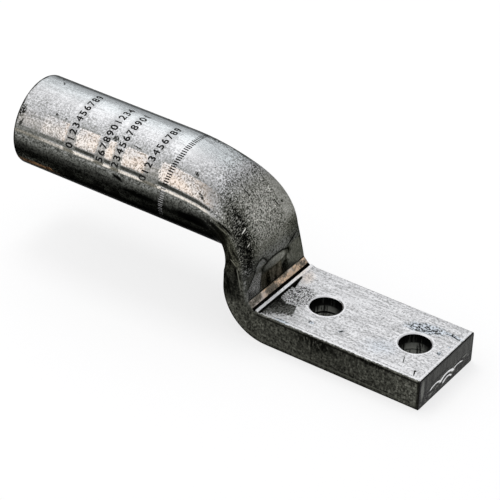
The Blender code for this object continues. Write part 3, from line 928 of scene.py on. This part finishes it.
# the front of the neck: rubbed flat below a wavy line and painted dark there as shade, with a pressed oval, the lap
# beside it and a plain base
def neckFront(s, arc, away, tone, rub, cloud, speck):
    spot = (s, arc)
    wave = add(s, sway(cloud, 4))
    front = rise(away, 25.4, 24.4)
    # the rubbed part is also where the neck is painted dark as shade
    rubbedAndShaded = times(front, rise(wave, 147, 148.6), rise(s, 160.4, 159.2))
    smooth = ramp(rub, 0.36, 0.64, 0.045, 0.2)
    brown = times(between(arc, -5.5, 13, 1), rise(s, 151, 153), rubbedAndShaded)
    smooth = mixValue(marks(spot, wearAndPaintedLight["neckPatches"]), smooth, varied(0.03, speck, 0.3, 1.8))
    farPlain = leftOf(spot, (159, -12.6), (147, -12.4), 0.8)
    smooth = mixValue(farPlain, smooth, varied(0.105, cloud, 0.7, 1.3))
    base = times(leftOf(spot, (150.4, 11.4), (159.4, 14.8), 0.3), leftOf(spot, (154.6, 25), (147.4, 15), 0.4))
    lap = oval(spot, *wearAndPaintedLight["lap"])
    smooth = mixValue(base, smooth, varied(0.42, cloud, 0.6, 1.4))
    smooth = modulate(smooth, speck, 0.9)
    tone = mixValue(rubbedAndShaded, tone, smooth)
    tone = mixValue(times(lap, rise(s, 150.6, 149.4)), tone,
                    modulate(varied(0.23, cloud, 0.6, 1.4), speck, 0.8))
    lapEdge = times(oval(spot, *wearAndPaintedLight["lapEdge"]), rise(s, 149.6, 148.4))
    tone = mixValue(oval(spot, *wearAndPaintedLight["pressedOval"]), tone,
                    modulate(varied(0.21, cloud, 0.6, 1.4), speck, 0.7))
    rim = times(oval(spot, *wearAndPaintedLight["pressedRim"]), ramp(s, 151.4, 149.8, 0.7, 1))
    # a painted dark line of shade in the crease at the toe
    broken = mixValue(between(arc, -20, -6.5, 1), mixValue(speck, 0.6, 1), times(speck, 0.4))
    toeLine = times(front, between(s, 158.7, 159.5, 0.15), broken)
    edges = highest(lapEdge, rim, marks(spot, wearAndPaintedLight["neckLines"]), toeLine)
    return mixValue(edges, tone, 0.005), rubbedAndShaded, brown


# how far a point is from the middle of the nearer hole
def holeDistance(p):
    across = minus(unsigned(p[0]), lug["holePitch"] / 2 * mm)
    return calc("SQRT", add(times(across, across), times(p[1], p[1])))


# the pad's top: rolled streaks, scuffs by the holes, and the rough patch and pressed line at the toe
def padTop(p, place, speck):
    spot = (p[0], p[1])
    roll = streakOf(place, 0.06, 0.8, 5)
    slanted = grainOf(stretch(place, (0.8, 1, 0)), 1, 4.5)
    fleck = rise(grainOf(place, 1.7, 4.5), 0.32, 0.68)
    level = times(formed["padTone"], mixValue(grainOf(place, 0.13, 2.2), 0.8, 1.14))
    level = modulate(level, roll, 1.5)
    level = modulate(level, grainOf(stretch(place, (0.22, 0.55, 0)), 1, 2.2), 0.45)
    level = times(level, ramp(slanted, 0.05, 0.6, 0.6, 1.1))
    level = mixValue(times(marks(spot, wearAndPaintedLight["padPale"]), 0.7), level, 0.93)
    ringMark = times(oval(spot, *wearAndPaintedLight["ringMark"]), rise(p[1], -9, -13))
    level = mixValue(times(ringMark, 0.7), level, 0.4)
    # scuffs
    slant = stretch(vecCalc("ADD", place, (40, 7, 0)), (1, 1.3, 0))
    cuts = noiseOf(slant, 0.52, detail=3, roughness=0.7, distortion=0.8)
    scuffed = marks(spot, wearAndPaintedLight["padScuffs"])
    blued = highest(scuffed, times(oval(spot, *wearAndPaintedLight["bluedSpot"]), 0.6))
    level = mixValue(times(scuffed, rise(cuts, 0.5, 0.53)), level, 0.03)
    level = mixValue(times(scuffed, rise(cuts, 0.45, 0.42)), level, 0.96)
    level = mixValue(marks(spot, wearAndPaintedLight["padNicks"]), level, 0.015)
    # a painted highlight ring round each hole, and painted highlight and shade lines by the edges
    holeRingHighlight = between(holeDistance(p), 7.2, 8.4, 0.15)
    ragged = add(p[1], sway(slanted, 0.35))
    edgeHighlight = highest(between(ragged, -21.6, -20.8, 0.15), between(p[0], 36.5, 37.2, 0.15))
    level = mixValue(highest(holeRingHighlight, times(edgeHighlight, 0.8)), level, 0.96)
    edgeShade = highest(rise(ragged, -21.65, -21.85), rise(p[0], 37.5, 37.8))
    level = mixValue(highest(edgeShade, times(rise(p[1], 21.5, 22), 0.7)), level, 0.02)
    # the rough patch: two lobes, the nearer one darker and fading out towards the near edge; that darkness is
    # partly a painted reflection of the neck
    light = times(oval(spot, *wearAndPaintedLight["roughLobe"]), rise(p[0], -42.2, -41.4))
    fade = minus(times(p[0], 0.55), p[1])
    dark = times(leftOf(spot, (-28.6, -17.4), (-32.6, -6.6), 0.25), rise(fade, 0.6, -4.4), rise(p[1], -2, -4))
    dark = rise(add(dark, times(minus(0.5, speck), 0.8)), 0.2, 0.7)
    shade = mixValue(rise(minus(p[0], p[1]), -34, -15), 0.006, 0.13)
    level = mixValue(dark, level, varied(shade, speck, 0.1, 2.6))
    level = mixValue(light, level, ramp(fleck, 0, 0.85, 0.03, 0.96))
    # a painted highlight on the bright pressed line, and painted shadow in the black gap beyond it, the wedge and
    # the crease at the toe
    gapShadow = times(between(p[0], -42.75, -41.5, 0.12), rise(p[1], 12.5, 10.5))
    wedgeShadow = times(leftOf(spot, (-40.2, 3.6), (-41.9, 12), 0.2), rise(p[0], -42.9, -42.7),
                  between(p[1], 3, 12, 0.4))
    level = mixValue(highest(gapShadow, wedgeShadow), level, 0.005)
    level = mixValue(rise(p[0], -42.55, -42.75), level, ramp(speck, 0.85, 1, 0.96, 0.6))
    level = mixValue(rise(p[0], -44.02, -44.2), level, 0.008)
    return level, highest(light, dark), blued, marks(spot, wearAndPaintedLight["toeStains"])


# the pad's edges and the heel's side: painted dark as shade, mottled, with a faint line near the bottom
def padSide(p, place):
    upright = grainOf(stretch(place, (0.9, 0.9, 0.3)), 1, 2)
    mottle = grainOf(place, 0.35, 2)
    level = curve(p[0], formed["edgeTone"])
    heel = [mm * value for value in sideLines()[1]["heel"]]
    # near the heel the distance from the underside is taken along the heel's radius
    reach = vecCalc("LENGTH", stretch(vecCalc("SUBTRACT", place, (heel[0], 0, heel[1])), (1, 0, 1)))
    depth = mixValue(rise(p[0], heel[0] + 0.3, heel[0] - 0.3), p[2], minus(lug["heelRadius"] * mm, reach))
    level = modulate(modulate(level, upright, 2), mottle, 1.6)
    level = times(level, mixValue(grainOf(place, 0.9, 4), 0.1, 2.5))
    level = mixValue(times(between(depth, 1.9, 2.6, 0.2), 0.6), level, 0.11)
    level = mixValue(times(marks((p[0], p[2]), wearAndPaintedLight["sideDarks"]), rise(upright, 0.7, 0.45)), level, 0.003)
    # painted shade along the top and bottom edges and at the end
    lines = highest(times(between(p[2], 13.3, 14.2, 0.15), rise(p[0], -44.5, -42.5)), rise(depth, 1.2, 0.8),
                    rise(p[0], 36.6, 37))
    return mixValue(times(lines, 0.85), level, formed["darkest"])


def formedAluminium():
    material, shader, place, normal = newFinish("formedAluminium")
    tube = stretch(addNode("ShaderNodeAttribute", attribute_name="tubePlace").outputs["Vector"], (mm, mm, mm))
    wrap = useGroup(wrapGroup, {"Place": tube})
    s, arc, away = wrap["Along"], wrap["Around"], wrap["Away"]
    p, n = splitVector(place), splitVector(normal)
    broad = streakOf(tube, 0.03, 0.25)
    fine = streakOf(tube, 0.05, 1.3, 5)
    rub = streakOf(tube, 0.1, 0.4)
    cloud = grainOf(tube, 0.13, 1.6)
    speck = grainOf(place, 1.25, 5)
    peel = grainOf(stretch(tube, (1.7, 0.85, 0.85)), 1, 4.6)
    barrelTone, creamReflection = barrelSkin(tube, s, arc, away, broad, fine, speck)
    bendTone, side = bendSkin(s, arc, away, rub, speck, peel)
    # the painted reflection lines of the barrel's flank run on further than its crown does
    bent = rise(add(minus(s, times(rise(away, 9, 24), 14)), sway(speck, 14)), 85, 97)
    tone = modulate(mixValue(bent, barrelTone, bendTone), cloud, 0.35)
    pits = useGroup(pitGroup, {"Place": place, "Spacing": 6, "Size": 0.08, "Share": 0.4})[0]
    tone = mixValue(times(pits, 0.8), tone, 0.03)
    tone = mixValue(times(marks((s, arc), wearAndPaintedLight["darkDents"]), rise(speck, 1, 0.6)), tone, 0.02)
    tone = mixValue(marks((s, arc), wearAndPaintedLight["brightNicks"]), tone, 0.95)
    tone = mixValue(times(oval((s, arc), *wearAndPaintedLight["paleStroke"]), 0.35), tone, 0.6)
    # painted shade along the edge at the mouth
    tone = mixValue(rise(add(s, times(broad, 1.5)), 2.3, 1.5), tone, 0.012)
    tone, rubbedAndShaded, brown = neckFront(s, arc, away, tone, rub, cloud, speck)
    # the 45 degree facet at the toe
    facet = times(between(s, 159.4, 163.6, 0.12), rise(n[2], 0.5, 0.65))
    patches = rise(streakOf(place, 0.35, 0.22), 0.42, 0.58)
    tan = modulate(times(formed["facetTone"], mixValue(patches, 0.34, 1.5)), speck, 1)
    tone = mixValue(facet, tone, mixValue(marks((s, arc), wearAndPaintedLight["facetWorn"]), tan, 0.8))
    # painted shade in the crease at the facet's foot
    tone = mixValue(times(between(s, 162.4, 164.2, 0.12), rise(n[2], 0, 0.3)), tone, formed["darkest"])
    # the pad, whose top is bright and whose edges are painted dark as shade
    pad = rise(p[0], -44.6, -44.4)
    flat = times(pad, rise(n[2], 0.7, 0.9))
    level, patch, scuffed, stain = padTop(p, place, speck)
    lowSide = times(highest(pad, rise(p[2], 20, 14)), rise(unsigned(n[1]), 0.5, 0.8))
    tone = mixValue(lowSide, tone, padSide(p, place))
    # painted shade on the undersides past the barrel
    under = times(rise(n[2], 0.06, -0.14), rise(s, 84, 100))
    tone = mixValue(under, tone, modulate(formed["underTone"], rub, 1.2))
    tone = mixValue(flat, tone, level)
    # the contact face is bare rolled metal
    contact = times(rise(n[2], -0.8, -0.96), rise(add(p[0], times(speck, 2)), -49, -44))
    rolled = modulate(modulate(formed["contactTone"], streakOf(place, 0.06, 0.8, 5), 1.5), speck, 0.7)
    tone = mixValue(contact, tone, rolled)
    # the pad's rounded edges darkened, partly wear and partly painted shade
    rounded = times(useGroup(edgeWearShadeGroup, {"Normal": normal, "Place": place, "Reach": 0.35})[0], pad)
    tone = mixValue(rounded, tone, mixValue(speck, 0.02, 0.35))
    colour = toneColour(lowest(highest(tone, formed["darkest"]), formed["palest"]))
    # warm casts on the barrel's painted cream reflection and bright line, the stains, the facet and the painted
    # dark sides, and cool ones on bare metal
    patchy = times(ramp(cloud, 0.25, 0.7, 0.4, 1), ramp(speck, 0.2, 0.8, 1.2, 0.5))
    tanned = mixValue(rise(arc, 16, 9), 0.45, mixValue(patches, 0.55, 1.25))
    masks = {"creamReflection": times(creamReflection, patchy, rise(s, 112, 96)),
             "brightReflectionLine": times(between(away, 26.9, 28.3, 0.3), rise(s, 104, 96), rise(arc, -12, -9.5)),
             "bend": times(bent, rise(s, 106, 118), rise(s, 147, 139)), "facet": times(facet, tanned),
             "neck": brown, "stain": times(stain, flat, 0.6), "dull": highest(lowSide, side, times(rubbedAndShaded, 0.7)),
             "scuff": times(scuffed, flat), "crown": times(rise(arc, 8, -2), rise(s, 108, 99))}
    for name, mask in masks.items():
        colour = mixColour(mask, colour, casts[name], "MULTIPLY")
    rust = highest(oval((s, away), *wearAndPaintedLight["rustEdge"]), oval((s, away), *wearAndPaintedLight["rustSpot"]))
    rust = times(rust, ramp(fine, 0.4, 0.6, 0.1, 0.85), rise(arc, 0, 10))
    colour = mixColour(rust, colour, mixColour(speck, casts["rustDark"], casts["rustPale"]))
    feed(shader.inputs["Base Color"], colour)
    rough = mixValue(bent, ramp(away, 28, 32, 0.24, 0.34), 0.42)
    rough = add(mixValue(flat, mixValue(rubbedAndShaded, rough, 0.22), 0.36), sway(fine, 0.3))
    rough = mixValue(times(patch, flat), rough, 0.55)
    feed(shader.inputs["Roughness"], rough)
    feed(shader.inputs["Metallic"], 1)
    feed(shader.inputs["Specular Tint"], (*[formed["edgeTint"]] * 3, 1))
    relief = mixValue(bent, 0.25, mixValue(rubbedAndShaded, 1.3, 0.15))
    relief = mixValue(pad, relief, mixValue(patch, 0.35, 0.9))
    height = add(times(fine, 0.4), times(mixValue(0.5, speck, peel), relief), times(cloud, 1.2))
    bumpOn(shader, height, *formed["relief"])
    return material


# sawn or drawn metal with upright lines
def cutEnd(name, dark, pale):
    material, shader, place, _ = newFinish(name)
    lines = noiseOf(stretch(place, (1.6, 1.6, 0.12)), 1, 4, 0.7)
    setMetal(shader, ramp(lines, 0.35, 0.68, dark, pale), 0.45)
    bumpOn(shader, lines, 0.6, 0.0002)
    return material


# the pad's sheared end, painted dark as shade: upright tears above the seam, bright curled lips along it, and
# darker below
def shearedEnd():
    material, shader, place, _ = newFinish("shearedEnd")
    p = splitVector(place)
    spot = (p[1], p[2])
    tears = grainOf(stretch(place, (1, 1, 0.1)), 0.9, 2.4)
    mottle = grainOf(place, 0.5, 2)
    upper = times(0.034, mixValue(tears, 0.05, 2.1), mixValue(mottle, 0.5, 1.5))
    lower = ramp(grainOf(stretch(place, (1, 0.5, 1.4)), 0.7, 3.6), 0.6, 0.9, 0.003, 0.16)
    level = mixValue(rise(add(p[2], times(mottle, 0.8)), 7.4, 7.9), lower, upper)
    level = mixValue(marks(spot, wearAndPaintedLight["endDarks"]), level, 0.003)
    # painted shade along the bottom and side edges
    level = mixValue(highest(rise(p[2], 1.6, 0.9), rise(unsigned(p[1]), 20.6, 21.1)), level, 0.003)
    level = mixValue(oval(spot, *wearAndPaintedLight["endPale"]), level, varied(0.16, tears, 0.4, 1.6))
    lips = highest(*[times(oval(spot, *row), rise(p[2], row[0][1] + 0.5, row[0][1] + 1.2))
                     for row in wearAndPaintedLight["endLips"]])
    level = mixValue(times(lips, 1.6), level, 0.95)
    setMetal(shader, level, 0.5)
    bumpOn(shader, add(tears, times(lips, 2)), 0.6, 0.0002)
    return material


# dark in the stamped marks on the crown, as painted shade and grime, and the floors of those further round painted
# pale as highlights
def stampedShadeAndGrime(name, dullest, palestFloor):
    material, shader, place, normal = newFinish(name)
    p = splitVector(place)
    noise = grainOf(place, 1.5, 2)
    outwards = stretch(vecCalc("SUBTRACT", place, (0, 0, lug["axisHeight"] * mm)), (0, 1, 1))
    facing = divide(vecCalc("DOT_PRODUCT", normal, outwards), barrelRadius * mm)
    low = times(rise(p[2], 57.5, 54.5), rise(p[2], 34, 39), rise(p[1], 2, -2), rise(facing, 0.5, 0.8))
    tone = mixValue(low, mixValue(noise, 0.003, 0.018), mixValue(noise, dullest, palestFloor))
    setMetal(shader, tone, 0.6, 0.8)
    return material


# the holes' walls: painted dark inside as shade, darker above and paler below the seam, with upright drill marks
def drilledWall():
    material, shader, place, normal = newFinish("drilledWall")
    p, n = splitVector(place), splitVector(normal)
    upright = grainOf(stretch(place, (1, 1, 0.08)), 0.8, 3)
    seam = add(p[2], times(upright, 0.8))
    tone = mixValue(rise(seam, 11, 10.2), ramp(upright, 0.6, 0.9, 0.004, 0.05),
                    ramp(upright, 0.28, 0.5, 0.01, 0.11))
    # painted light: paler where the wall faces a fixed bearing, that of the scene's camera, which no node reads
    # from the camera
    tone = times(tone, ramp(vecCalc("DOT_PRODUCT", normal, (0.53, -0.85, 0)), 0.45, 0.88, 0.2, 1.15))
    tone = mixValue(rise(n[2], 0.25, 0.6), tone, 0.93)
    setMetal(shader, tone, 0.32)
    bumpOn(shader, upright, 0.5, 0.0001)
    return material


finishes = [formedAluminium(), cutEnd("sawnMouth", 0.3, 0.5), shearedEnd(), drilledWall(),
            cutEnd("boreWall", 0.08, 0.24), stampedShadeAndGrime("stampedStroke", 0.80, 0.96),
            stampedShadeAndGrime("stampedNumber", 0.03, 0.26)]
print("finishes made")


# cut the skin and hand it to the frame

def cut(body, cutter):
    modifier = body.modifiers.new("cut", "BOOLEAN")
    modifier.operation = "DIFFERENCE"
    modifier.object = cutter
    modifier.material_mode = "TRANSFER"
    return cutter


def finishSkin():
    form, sections, mouthX = makeSkin(finishes)
    cutters = [cut(form, makeBoreCutter(sections, mouthX, finishes[4]))]
    for name, side in (("holeNearBarrel", -1), ("holeNearEnd", 1)):
        cutters.append(cut(form, makeHoleCutter(name, side * lug["holePitch"] / 2, finishes[3])))
    cutters += [cut(form, stamp) for stamp in makeStamps(finishes[5], finishes[6])]
    mesh = plainMesh(form, "lugSkin")
    for thing in cutters + [form]:
        bpy.data.objects.remove(thing, do_unlink=True)
    mesh.shade_smooth()
    mesh.set_sharp_from_angle(angle=lug["sharpAngle"])
    mesh.calc_loop_triangles()
    print("skin cut:", len(mesh.loop_triangles), "triangles,", [m.name for m in mesh.materials])
    return addObject("lugSkin", mesh)


lugSkin = finishSkin()
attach(lugSkin, "root")
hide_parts("lug_body")


# floor, world and lamps

studio = {"floorRadius": 7.0, "floorSteps": 96, "mottleScale": 3.0, "mottleDepth": 0.01,
          "worldBlue": 1.02, "floorTone": 0.3, "floorGlow": 0.72, "worldTone": 0.62,
          "topPanel": {"towards": (-0.44, 0.12, 0.89), "distance": 1.2, "size": (1.3, 2.6), "level": 0.5,
                       "tint": (1, 1, 1)}, "warmPanel": {"towards": (-0.44, -0.83, 0.34), "distance": 1.5,
                                                         "size": (1.3, 0.55), "level": 0.55,
                                                         "tint": (1.0, 0.9, 0.78)},
          "keyLamp": {"towards": (-0.31, 0.21, 0.93), "distance": 1.3, "size": (0.45, 0.45), "level": 5.3,
                      "tint": (1, 1, 1)}}


def makeFloor():
    form = bmesh.new()
    bmesh.ops.create_circle(form, cap_ends=True, cap_tris=True, segments=studio["floorSteps"],
                            radius=studio["floorRadius"])
    mesh = bpy.data.meshes.new("studioFloor")
    form.to_mesh(mesh)
    form.free()
    floor = addObject("studioFloor", mesh)
    material = bpy.data.materials.new("paleFloor")
    material.use_nodes = True
    writing["tree"] = material.node_tree
    shader = material.node_tree.nodes["Principled BSDF"]
    place = addNode("ShaderNodeTexCoord").outputs["Object"]
    tone = studio["floorTone"]
    level = mixValue(noiseOf(place, studio["mottleScale"]), tone - studio["mottleDepth"], tone)
    feed(shader.inputs["Base Color"], joinVector(level, level, level))
    feed(shader.inputs["Roughness"], 0.9)
    feed(shader.inputs["Specular IOR Level"], 0.1)
    # the glow is the floor's own whiteness, seen by the camera and in the metal, and lights nothing
    rays = addNode("ShaderNodeLightPath").outputs
    seen = calc("ADD", add(rays["Is Camera Ray"], rays["Is Glossy Ray"]), rays["Is Transmission Ray"], clamp=True)
    feed(shader.inputs["Emission Color"], (1, 1, 1, 1))
    feed(shader.inputs["Emission Strength"], times(seen, studio["floorGlow"]))
    mesh.materials.append(material)


def makeWorld():
    world = bpy.data.worlds.new("studioWorld")
    world.use_nodes = True
    tone = studio["worldTone"]
    world.node_tree.nodes["Background"].inputs["Color"].default_value = (tone, tone, tone * studio["worldBlue"], 1)
    scene.world = world


def makePanel(name):
    panel = studio[name]
    data = bpy.data.lights.new(name, "AREA")
    data.shape = "RECTANGLE"
    data.size, data.size_y = panel["size"]
    data.energy = panel["level"] * pi * data.size * data.size_y
    data.color = panel["tint"]
    lamp = addObject(name, data)
    away = Vector(panel["towards"]).normalized()
    side = (Vector((1, 0, 0)) - away * away.x).normalized()
    turn = Matrix((side, away.cross(side), away)).transposed().to_4x4()
    lamp.matrix_world = Matrix.Translation(Vector(cameraSet["aim"]) + away * panel["distance"]) @ turn
    return lamp


makeFloor()
makeWorld()
for name in ("topPanel", "warmPanel"):
    makePanel(name)
makePanel("keyLamp").visible_glossy = False
scene.view_settings.view_transform = "Standard"
print("studio lit")
